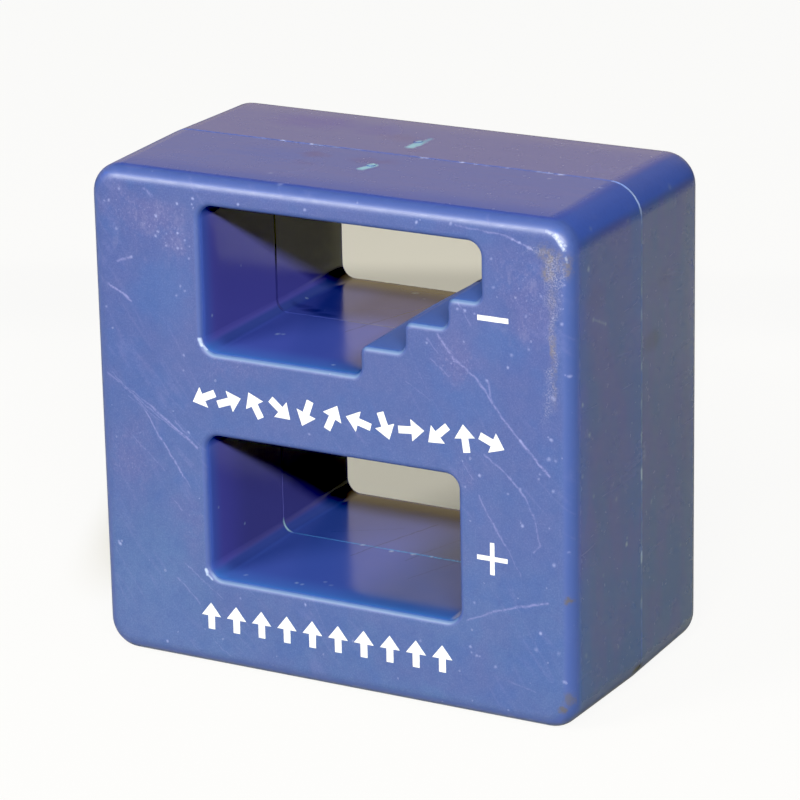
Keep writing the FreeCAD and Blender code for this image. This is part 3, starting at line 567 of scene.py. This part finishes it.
def front_plastic(shell):
    """Front face and its rounded rim."""
    point, near, mottle, grain = shell.point, shell.near, shell.mottle, shell.grain
    z, face_z = shell.place[2], shell.normal[2]
    tooth = point.noise(6.5, detail=1.0, rough=0.6, seed=11.0)
    fine = near.onto(ON_FRONT)
    broad = point.wobble(0.33, rough=0.65, reach=4.2).onto(ON_FRONT)
    ragged = point.wobble(1.3, rough=0.7, reach=1.1).onto(ON_FRONT)
    cloud = point.noise(0.10, rough=0.55, seed=2.0)
    patchy = point.noise(0.27, rough=0.6, seed=12.0)

    face = paint(
        shell.haze,
        # large soft clouds
        (cloud.ramp(0.42, 0.68, end=0.40), (0.080, 0.104, 0.300)),
        (patchy.ramp(0.50, 0.66, end=0.30), (0.084, 0.108, 0.290)),
        (patchy.fall(0.34, 0.48, 0.35), (0.044, 0.102, 0.318)),
        # placed areas
        (patches(broad, FRONT_CLEAN, ON_FRONT), (0.050, 0.104, 0.315)),
        (patches(broad, FRONT_COOL, ON_FRONT), (0.066, 0.134, 0.318)),
        (patches(broad, FRONT_PALE, ON_FRONT), (0.084, 0.144, 0.340)))
    dust = patches(broad, FRONT_DUST, ON_FRONT)
    powder = point.stretch(4.4, 4.4, 2.9).noise(1.0, rough=0.65, seed=8.0)
    face = paint(
        face,
        (dust * mottle.ramp(0.34, 0.62, 0.15, 0.85), (0.112, 0.108, 0.288)),
        (powder.ramp(0.52, 0.66) * (dust * 0.62).max(0.05), (0.200, 0.205, 0.420)),
        # fine dark and pale texture
        (tooth.fall(0.32, 0.62, 0.21), (0.025, 0.045, 0.200)),
        (tooth.ramp(0.48, 0.78, end=0.20), (0.180, 0.215, 0.450)),
        (mottle.ramp(0.40, 0.66, end=0.22), (0.034, 0.078, 0.262)),
        (grain.fall(0.30, 0.46, 0.22), (0.036, 0.062, 0.240)))

    # painted highlight on the rims that turn up from the window floors and steps
    sill_highlight = face_z.ramp(0.30, 0.60) * (z < 44.0) * (z > 5.0) * (1.0 - shell.front)
    dry = (shell.streak.ramp(0.49, 0.66) * mottle.ramp(0.36, 0.60)
           * grain.ramp(0.30, 0.62, 0.3, 1.1) * patches(broad, FRONT_DRY, ON_FRONT).max(0.06))
    hair = hairs(point, (0, -42, 0), along=0.05, across=0.62, width=0.045, seed=1.0).max(
        hairs(point, (0, -57, 0), along=0.06, across=0.55, width=0.035, seed=7.0))
    widened = [(*row[:4], row[4] * 1.12, row[5]) for row in FRONT_LINES]
    lines = strokes(fine, widened, ON_FRONT) * shell.broken
    dusting = flecks(near, scale=1.6, size=0.11, seed=2.0).max(
        flecks(near, scale=2.7, size=0.085, seed=3.0) * 0.8)
    dusting = dusting * dust.max(0.10)
    # specks near the right edge are drawn smaller and fainter
    trimmed = [(x, height, radius * (0.80 if x > 22.9 else 0.88),
                strength * (0.75 if x > 22.9 else 0.9))
               for x, height, radius, strength in FRONT_SPOTS]
    spots = dots(fine, trimmed, ON_FRONT)
    lip_highlight = strokes(fine, FRONT_LIP_HIGHLIGHTS, ON_FRONT)
    half_broken = shell.tree.node("Mix", {0: 0.5, 2: shell.broken, 3: 1.0},
                                  data_type="FLOAT", clamp_factor=True)
    grime = patches(ragged, FRONT_GRIME, ON_FRONT) * grain.ramp(0.36, 0.60, 0.30, 1.15)
    chalk = (patches(broad, FRONT_CHALK, ON_FRONT) * tooth.ramp(0.38, 0.68)
             * mottle.ramp(0.36, 0.58, start=0.4))
    brown = patches(ragged, FRONT_BROWN, ON_FRONT)
    scuff_and_highlight = strokes(fine, FRONT_SCUFF_AND_HIGHLIGHT, ON_FRONT) * grain.ramp(0.36, 0.56, 0.35, 1.1)
    scuff_and_highlight = scuff_and_highlight.min(1.0)
    colour = paint(
        shell.front.mix(shell.tone, face),
        (sill_highlight * 0.38, (0.190, 0.330, 0.500)),
        (dry * 0.55, (0.165, 0.178, 0.375)),
        (hair * shell.broken * 0.15, HAIR),
        (lines * 0.92, (0.240, 0.255, 0.540)),
        ((shell.fleck * 0.36).max(dusting * 0.60), (0.30, 0.34, 0.60)),
        (spots.min(1.0) * 0.85, (0.335, 0.375, 0.680)),
        # painted highlights on the windows' left rims
        (lip_highlight.min(1.0) * half_broken * 0.80, (0.46, 0.56, 0.80)),
        (grime * 0.92, (0.150, 0.140, 0.178)),
        (chalk * 0.50, (0.36, 0.37, 0.50)),
        (brown * 0.9, (0.100, 0.096, 0.115)),
        # scuff at the top right corner, with a painted highlight on it
        (scuff_and_highlight * 0.72, (0.60, 0.67, 0.84)))

    rough = shell.rough + mottle.ramp(0.3, 0.7, -0.025, 0.035)
    worn = (lines * 0.8).max(spots.min(1.0)).max(scuff_and_highlight)
    height = mottle * 0.0030 + grain * 0.0014 + hair * -0.004 + shell.fleck * 0.008
    return plastic(shell, colour, (worn * 0.8).lerp(rough, 0.62),
                   shell.tree.bump(height, shell.soft_normal))


def top_colour(shell):
    wide = shell.point.wobble(0.40, rough=0.6, reach=3.0).onto(ON_TOP)
    sweep = shell.point.stretch(0.16, 0.9, 0.16).noise(1.0, detail=3.0, rough=0.6, seed=6.0)
    return paint(
        # painted shade: the rear half of the top, drafted away from the lamps, a little darker and
        # greyer
        shell.place[1].ramp(-0.5, 0.5).mix((0.050, 0.088, 0.375), (0.055, 0.078, 0.345)),
        (patches(wide, TOP_DEEP, ON_TOP), (0.036, 0.040, 0.345)),
        (patches(wide, TOP_BRIGHT, ON_TOP), (0.030, 0.080, 0.400)),
        (patches(wide, TOP_DULL, ON_TOP), (0.056, 0.052, 0.270)),
        (sweep.ramp(0.42, 0.68, end=0.35), (0.076, 0.094, 0.350)))


def side_colour(shell, flat):
    _, y, z = shell.place
    blotch = shell.point.stretch(0.3, 0.3, 0.13).noise(1.0, rough=0.6, seed=13.0)
    stains = [(2.4, 34.2, 2.3, 1.3, 0.8), (5.2, 39.5, 1.8, 1.2, 0.4), (-9.4, 41.5, 2.0, 1.6, 0.25)]
    low_stains = [(-6.4, 20.6, 0.35, 0.9, 0.7), (1.8, 8.6, 1.2, 1.8, 0.3)]
    return paint(
        y.ramp(-0.4, 0.4).mix(HAZE_SIDE, (0.068, 0.102, 0.255)),
        # just ahead of the joint; painted light, brighter blue towards the rounded edges; streaks,
        # then the foot
        (y.ramp(-4.6, -0.6) * (y < 0.05) * 0.7, (0.052, 0.100, 0.300)),
        (shell.far_y.ramp(10.2, 12.6, end=0.75), (0.058, 0.094, 0.335)),
        (shell.streak.ramp(0.42, 0.70) * 0.16, (0.078, 0.086, 0.270)),
        (z.fall(6.0, 26.0, 0.60), (0.034, 0.100, 0.266)),
        (patches(flat, stains, ON_SIDE), (0.050, 0.074, 0.160)),
        (patches(flat, low_stains, ON_SIDE), (0.060, 0.060, 0.230)),
        (blotch.ramp(0.42, 0.64, end=0.45), (0.082, 0.084, 0.268)),
        (blotch.fall(0.34, 0.48, 0.40), (0.044, 0.096, 0.262)))


def joint_coats(shell):
    """The joint line at the top right corner and inside the windows."""
    x, y, z = shell.place
    face_x, _, face_z = shell.normal
    grain, high, low = shell.grain, shell.high, shell.low
    ring = (abs(y + 0.02).fall(0.10, 0.26) * x.ramp(22.7, 23.1) * z.ramp(47.55, 47.9)
            * grain.ramp(0.34, 0.52, start=0.35))
    seam = abs(y).fall(0.06, 0.26) * shell.tunnel
    floor = face_z.ramp(0.3, 0.6)
    elbow = seam * low * z.ramp(11.2, 10.6) * x.ramp(-12.2, -12.9)
    run = seam * low * floor * x.ramp(-12.9, -11.5) * (z < 11.0)
    return [
        (ring * 0.50, (0.24, 0.36, 0.68)),
        # low window: left corner, then floor
        (elbow * grain.ramp(0.30, 0.5, start=0.5) * 0.8, (0.26, 0.44, 0.56)),
        (run * grain.ramp(0.36, 0.56, start=0.25) * x.ramp(-8.0, 5.0, 0.55, 0.9),
         (0.060, 0.240, 0.520)),
        # high window: upper part, left wall, then floor
        (seam * high * z.ramp(35.5, 38.0), (0.004, 0.005, 0.010)),
        (seam * high * z.ramp(37.5, 36.0) * face_x.ramp(0.2, 0.5) * 0.7, (0.030, 0.032, 0.130)),
        (seam * high * floor * x.ramp(-8.0, -4.0) * (z < 33.6) * 0.55, (0.16, 0.16, 0.17)),
    ]


def window_coats(shell, on_top, on_side):
    """Specks, smudges and rubs inside the windows."""
    z = shell.place[2]
    face_x, _, face_z = shell.normal
    low_dots = dots(on_top, LOW_SPOTS, ON_TOP)
    high_dots = dots(on_top, HIGH_SPOTS, ON_TOP)
    wall_dots = dots(on_side, WALL_SPOTS, ON_SIDE)
    specks = (low_dots * (z < 10.6) + high_dots * (z < 33.3) * shell.high
              + wall_dots * face_x.ramp(0.6, 0.8))
    deck = shell.tunnel * (z < 33.4) * face_z.ramp(0.5, 0.8)
    return [
        (specks.min(1.0) * shell.tunnel * 0.85, (0.30, 0.42, 0.66)),
        (patches(on_top, DECK_SMUDGES, ON_TOP) * shell.high * deck, (0.016, 0.018, 0.080)),
        (strokes(on_top, DECK_RUBS, ON_TOP) * deck * 0.6, (0.012, 0.022, 0.090)),
    ]


def rest_plastic(shell):
    """Top, sides, back, underside and the windows."""
    x, y, z = shell.place
    face_x, face_y, face_z = shell.normal
    point, near, fleck = shell.point, shell.near, shell.fleck
    mottle, grain, streak = shell.mottle, shell.grain, shell.streak
    top, side, outer, tunnel = shell.top, shell.side, shell.outer, shell.tunnel
    flat_side, flat_top = near.onto(ON_SIDE), near.onto(ON_TOP)
    colour = paint(
        shell.back.mix(shell.tone, shell.haze),
        (top, top_colour(shell)), (side, side_colour(shell, flat_side)))

    # how much general wear each zone takes
    calm = side.max(tunnel).lerp(1.0, 0.4)
    quiet = side.lerp(top.lerp(1.0, 0.5), 0.2)
    hair = hairs(point, (0, -12, 8), along=0.05, across=0.50, width=0.03, seed=12.0) * outer
    on_top = face_z.ramp(0.35, 0.60) * (z > 47.5)
    joint_rows = [(start, 0.0, end, 0.0, width, strength)
                  for start, end, width, strength in TOP_JOINT]
    top_lines = strokes(flat_top, joint_rows, ON_TOP) * shell.broken * on_top
    top_dots = dots(flat_top, TOP_SPOTS, ON_TOP) * on_top
    side_joint = shell.on_side * abs(y).fall(0.10, 0.22)
    side_marks = dots(flat_side, SIDE_SPOTS, ON_SIDE).max(
        strokes(point.onto(ON_SIDE), SIDE_LINES, ON_SIDE))
    colour = paint(
        colour,
        (grain.fall(0.34, 0.56) * outer * quiet * 0.10, (0.020, 0.035, 0.160)),
        (mottle.ramp(0.50, 0.78) * outer * quiet * 0.10, (0.15, 0.17, 0.40)),
        (hair * quiet * 0.22, HAIR),
        (top_lines * 0.95, (0.290, 0.390, 0.620)),
        (fleck * outer.lerp(calm, quiet) * outer.lerp(0.20, 0.30), (0.22, 0.27, 0.52)),
        (top_dots.min(1.0) * 0.9, (0.40, 0.46, 0.74)),
        (side_joint * streak.ramp(0.36, 0.60, start=0.45) * 0.85, (0.088, 0.122, 0.190)),
        (side_marks.min(1.0) * shell.on_side * 0.80, (0.30, 0.38, 0.46)),
        *joint_coats(shell),
        *window_coats(shell, flat_top, flat_side))

    flakes = strokes(flat_top, TOP_FLAKES, ON_TOP) * on_top * grain.ramp(0.30, 0.55, 0.6, 1.1)
    flake_colour = y.ramp(3.6, 7.6).mix((0.33, 0.60, 0.72), (0.20, 0.33, 0.52))
    foot = z.ramp(2.6, 0.4) * outer * face_z.ramp(-0.25, -0.6) * 0.75
    foot_patch = patches(flat_side, [(-0.3, 2.0, 1.3, 0.5, 1.0)], ON_SIDE)
    colour = paint(
        colour,
        (flakes.min(1.0) * 0.9, flake_colour),
        # darker brown on the downward-facing lower edges, and a dark spot at the foot of the right
        # side's joint
        (foot * mottle.ramp(0.25, 0.6, start=0.6), (0.100, 0.095, 0.080)),
        (foot_patch * shell.on_side, (0.02, 0.02, 0.02)))

    uneven = mottle.ramp(0.3, 0.7, -0.02, 0.03) * top.max(side).lerp(1.0, 0.15)
    rough = shell.rough + (uneven + hair * quiet * 0.06)
    worn = flakes.min(1.0).max(fleck * quiet * 0.22)
    gentle = side.max(top).lerp(tunnel.lerp(1.0, 0.30), 0.05)
    height = gentle * (mottle * 0.0030 + grain * 0.0012 + fleck * 0.004)

    # faint fill where the dark cards leave the steps' risers and the rear mouths without light
    risers = face_x.fall(-0.7, -0.35) * shell.high * (x > 1.5) * tunnel
    rear_mouths = (face_y.ramp(0.10, 0.40) * face_y.fall(0.80, 0.96) * (shell.far_x < 18.5)
                   * z.ramp(49.0, 48.0) * z.ramp(8.0, 9.0))
    unlit = risers.max(rear_mouths).max(shell.from_behind * tunnel)
    return plastic(shell, colour, (worn * 0.8).lerp(rough, 0.60),
                   shell.tree.bump(height, shell.soft_normal),
                   {"Emission Color": (0.20, 0.32, 1.0), "Emission Strength": unlit * 0.11})


def shell_material():
    """One plastic for both halves: camera rays see the worn surface, all others a plain one."""
    material, tree = new_material("blue_shell_plastic")
    shell = shell_zones(tree)
    camera_ray, diffuse_ray = tree.nodes("LightPath", ("Is Camera Ray", "Is Diffuse Ray"))
    shell.soft_normal = soft_normal(shell)
    add_gloss(shell)
    add_tones(shell)
    plain = plain_plastic(shell, diffuse_ray)
    add_textures(shell)
    front = front_plastic(shell)
    rest = rest_plastic(shell)
    is_front = (shell.normal[1] < -0.46) * (shell.place[1] < -12.6)
    worn = tree.mix_shader(is_front, rest, front)
    finish(tree, tree.mix_shader(camera_ray, plain, worn))
    return material


# ---------------------------------------------------------------- small parts
def finish_matte(tree, colour, rough, height):
    finish(tree, tree.node("BsdfPrincipled", {
        "Base Color": colour, "Roughness": rough, "Normal": tree.bump(height)}))


def white_material():
    """White stamped fill of the legends, pinholed and rubbed."""
    material, tree = new_material("white_mark_fill")
    point = millimetres(tree)
    fine = point.noise(2.4, detail=4.0, rough=0.65, seed=1.0)
    cloud = point.noise(0.35, detail=3.0, seed=3.0)
    worn = point.noise(5.5, seed=5.0)
    pinholes = flecks(point, scale=1.5, size=0.075, seed=4.0) * cloud.ramp(0.42, 0.55)
    rubs = hairs(point, (0, 44, 0), along=0.07, across=0.9, width=0.05, seed=3.0)
    colour = paint(
        fine.ramp(0.35, 0.65).mix((0.74, 0.79, 0.83), (0.88, 0.90, 0.90)),
        (cloud.ramp(0.50, 0.72, end=0.35), (0.66, 0.69, 0.76)),
        (pinholes * 0.75, (0.20, 0.24, 0.45)),
        (rubs * 0.45, (0.48, 0.53, 0.70)),
        (worn.ramp(0.66, 0.74, end=0.5), (0.46, 0.51, 0.68)))
    finish_matte(tree, colour, rough=fine.ramp(0.3, 0.7, 0.46, 0.62),
                 height=fine * 0.006 + worn * 0.002 + pinholes * -0.02 + rubs * -0.006)
    return material


def ferrite_material():
    """Ground ceramic magnet."""
    material, tree = new_material("ground_ferrite")
    point = millimetres(tree)
    fine = point.noise(3.2, detail=5.0, rough=0.7, seed=1.0)
    cloud = point.noise(0.18, detail=3.0, seed=2.0)
    # grinding lines across the large faces
    cut = point.stretch(0.10, 3.4, 0.10).noise(1.0, detail=4.0, rough=0.7, seed=6.0)
    cells = tree.node("TexVoronoi", {"Vector": point, "Scale": 1.1}, "Distance")
    pits = cells.fall(0.06, 0.14)
    colour = paint(
        fine.ramp(0.3, 0.7).mix((0.022, 0.022, 0.024), (0.046, 0.045, 0.046)),
        (cloud.ramp(0.45, 0.7, end=0.5), (0.060, 0.056, 0.052)),
        (cut.ramp(0.52, 0.66, end=0.5), (0.090, 0.090, 0.092)),
        # painted shade: the pits darker
        (pits, (0.012, 0.012, 0.013)))
    finish_matte(tree, colour, rough=cut.ramp(0.35, 0.65, 0.72, 0.48),
                 height=fine * 0.012 + cut * 0.010 + pits * -0.05)
    return material


def foam_material():
    """Closed-cell foam of the magnets' pads."""
    material, tree = new_material("closed_cell_foam")
    point = millimetres(tree)
    push = point.noise(1.5, output="Color").vec("SCALE", scale=0.4)
    walls = tree.node("TexVoronoi", {"Vector": point.vec("ADD", push), "Scale": 2.6},
                      "Distance", feature="DISTANCE_TO_EDGE")
    cell = walls.ramp(0.0, 0.22)
    cloud = point.noise(0.25, detail=3.0, seed=2.0)
    # painted shade: the hollow cells darker than their walls
    colour = cell.mix((0.78, 0.76, 0.69), (0.52, 0.50, 0.44))
    colour = cloud.ramp(0.45, 0.7, end=0.6).mix(colour, (0.64, 0.58, 0.46))
    finish_matte(tree, colour, rough=cell.lerp(0.80, 0.95), height=cell * -0.06)
    return material


for make_material, part_names in (
        (shell_material, ("front_casing", "rear_casing")),
        (white_material, ("legend_minus", "legend_plus", "legend_magnetize",
                          "legend_demagnetize")),
        (ferrite_material, ("middle_magnet", "base_magnet")),
        (foam_material, ("middle_magnet_pad", "base_magnet_pad"))):
    part_material = make_material()
    for part_name in part_names:
        for slot in PARTS[part_name].material_slots:
            slot.material = part_material


# ---------------------------------------------------------------- floor
def floor_material():
    """Pale floor that glows evenly to the camera, except in the soft shadow behind the block."""
    material, tree = new_material("pale_floor")
    point = millimetres(tree)
    camera_ray, diffuse_ray, glossy_ray = tree.nodes(
        "LightPath", ("Is Camera Ray", "Is Diffuse Ray", "Is Glossy Ray"))
    x, y, _ = point.xyz()
    # distances along and across the shadow, which runs back and a little to the left
    along = (x + 5.0) * -0.38 + y * 0.925
    across = (x + 5.0) * 0.925 + y * 0.38
    shade = (along.ramp(5.0, 32.0) * along.fall(150.0, 192.0)
             * across.fall(13.0, 26.5) * across.ramp(-34.0, -25.0))
    mirrored = point.vec("LENGTH").ramp(220.0, 420.0).mix((0.74, 0.73, 0.52), (0.10, 0.10, 0.09))
    # painted shadow: to the camera the floor is darker from about 90 mm back along the shadow,
    # most up to 121 mm and less beyond 131 mm
    far_shadow = camera_ray * along.ramp(90.0, 110.0)
    albedo = paint(
        diffuse_ray.mix((0.82, 0.80, 0.71), (0.40, 0.39, 0.34)),
        (glossy_ray, mirrored),
        (far_shadow * along.ramp(121.0, 131.0, 0.32, 0.08), BLACK))
    matte = tree.node("BsdfDiffuse", {"Color": albedo})
    # slight lift of the shadow near the block
    lift = tree.node("Emission", {
        "Color": (1.0, 0.99, 0.84),
        "Strength": camera_ray * shade * along.ramp(110.0, 70.0, end=0.10)})
    shadow = tree.node("AddShader", {0: matte, 1: lift})
    glow = tree.node("Emission", {"Color": (0.995, 0.995, 0.99)})
    finish(tree, tree.mix_shader(camera_ray * (1.0 - shade) * 0.92, shadow, glow))
    return material


bpy.ops.mesh.primitive_plane_add(size=8.0, location=(0, 0, -0.00002))
floor = bpy.context.object
floor.name = "studio_floor"
floor.data.materials.append(floor_material())

# ---------------------------------------------------------------- world
AMBIENT = 0.20


def build_world():
    """Dim ambient light, a warm backdrop low at the rear for mirror rays, white to the camera."""
    world = bpy.data.worlds.new("studio")
    bpy.context.scene.world = world
    world.use_nodes = True
    world.node_tree.nodes.clear()
    tree = Tree(world.node_tree)
    camera_ray, glossy_ray = tree.nodes("LightPath", ("Is Camera Ray", "Is Glossy Ray"))
    x, y, z = tree.node("TexCoord", output="Generated").xyz()
    backdrop = z.fall(0.40, 0.50) * x.fall(-0.05, 0.30) * y.ramp(0.1, 0.4)
    mirrored = backdrop.mix((0.07, 0.07, 0.075), (0.85, 0.69, 0.45))
    sky = paint(glossy_ray.mix((AMBIENT, AMBIENT * 0.98, AMBIENT * 0.92), mirrored),
                (camera_ray, (0.96, 0.96, 0.95)))
    tree.nodes("OutputWorld", [], {0: tree.node("Background", {"Color": sky})})


build_world()


# ---------------------------------------------------------------- lamps
def area(name, place, target, size, power, color):
    """Rectangular lamp at place, aimed at target; metres and watts."""
    light = bpy.data.lights.new(name, "AREA")
    light.shape = "RECTANGLE"
    light.size, light.size_y = size
    light.energy = power
    light.color = color
    lamp = bpy.data.objects.new(name, light)
    bpy.context.scene.collection.objects.link(lamp)
    lamp.location = place
    aim = Vector(target) - Vector(place)
    lamp.rotation_euler = aim.to_track_quat("-Z", "Y").to_euler()
    return lamp


# long soft strips in front and above, level with the block's long edge
WARM_WHITE = (1.0, 0.98, 0.93)
area("strip_left", (-0.42, -0.72, 0.48), target=(-0.42, 0, 0.04),
     size=(0.46, 0.08), power=6.0, color=WARM_WHITE)
area("strip_right", (0.46, -0.72, 0.47), target=(0.46, 0, 0.04),
     size=(0.62, 0.06), power=11.8, color=WARM_WHITE)

# thin strip that is seen only in the sheen along the rounded edges
shine = area("strip_shine", (0.0, -0.72, 0.485), target=(0.0, 0, 0.045),
             size=(1.36, 0.11), power=11.0, color=(1.0, 0.96, 0.72))
shine.visible_diffuse = False

# low fill for the back, which lights the block only
back_fill = area("back_fill", (-0.10, 0.80, 0.16), target=(0, 0, 0.03),
                 size=(0.60, 0.16), power=3.6, color=(1.0, 0.97, 0.92))
back_fill.visible_glossy = False
block_only = bpy.data.collections.new("block_only")
for part_name in PARTS:
    block_only.objects.link(PARTS[part_name])
back_fill.light_linking.receiver_collection = block_only


# ---------------------------------------------------------------- dark cards
def card(name, left, right, bottom, top, y, blocks_lamps):
    """Black card in a window's mouth that stops scattered light; eye and mirrors miss it."""
    corners = ((left, bottom), (right, bottom), (right, top), (left, top))
    mesh = bpy.data.meshes.new(name)
    mesh.from_pydata([(x * MM, y * MM, z * MM) for x, z in corners], [], [(0, 1, 2, 3)])
    sheet = bpy.data.objects.new(name, mesh)
    bpy.context.scene.collection.objects.link(sheet)
    sheet.visible_camera = sheet.visible_glossy = sheet.visible_transmission = False
    sheet.visible_shadow = blocks_lamps
    material, tree = new_material(name + "_black")
    finish(tree, tree.node("BsdfDiffuse", {"Color": BLACK}))
    mesh.materials.append(material)


# window mouths: left, right, bottom, top in mm
MOUTHS = {"low": (-13.5, 13.7, 9.5, 24.0), "high": (-13.5, 16.3, 32.5, 46.9)}
for end, card_y, blocks in (("back", 13.7, True), ("front", -13.2, False)):
    for level, mouth in MOUTHS.items():
        card(f"{level}_{end}_card", *mouth, y=card_y, blocks_lamps=blocks)

# ---------------------------------------------------------------- camera
# camera axes in the scene, and its place in mm
RIGHT = Vector((0.8794518449746189, 0.47561801615754307, -0.018760465801834728))
UP = Vector((-0.13549762626145426, 0.2879386995483266, 0.9480146088430967))
FORWARD = Vector((-0.45629469167222403, 0.8311911982262454, -0.3176733327538975))
EYE = Vector((176.92866009, -322.01918747, 148.42644117)) * MM

camera_data = bpy.data.cameras.new("view")
camera = bpy.data.objects.new("view", camera_data)
bpy.context.scene.collection.objects.link(camera)
camera.matrix_world = Matrix((
    *((RIGHT[i], UP[i], -FORWARD[i], EYE[i]) for i in range(3)),
    (0, 0, 0, 1)))
camera_data.sensor_width = 36.0
camera_data.sensor_fit = "HORIZONTAL"
camera_data.lens = 179.6768288373
camera_data.clip_start = 0.01
camera_data.clip_end = 20
bpy.context.scene.camera = camera

view = bpy.context.scene.view_settings
view.view_transform = "Standard"
view.look = "None"
view.use_curve_mapping = True
view.curve_mapping.black_level = (0.02, 0.02, 0.02)
view.curve_mapping.update()
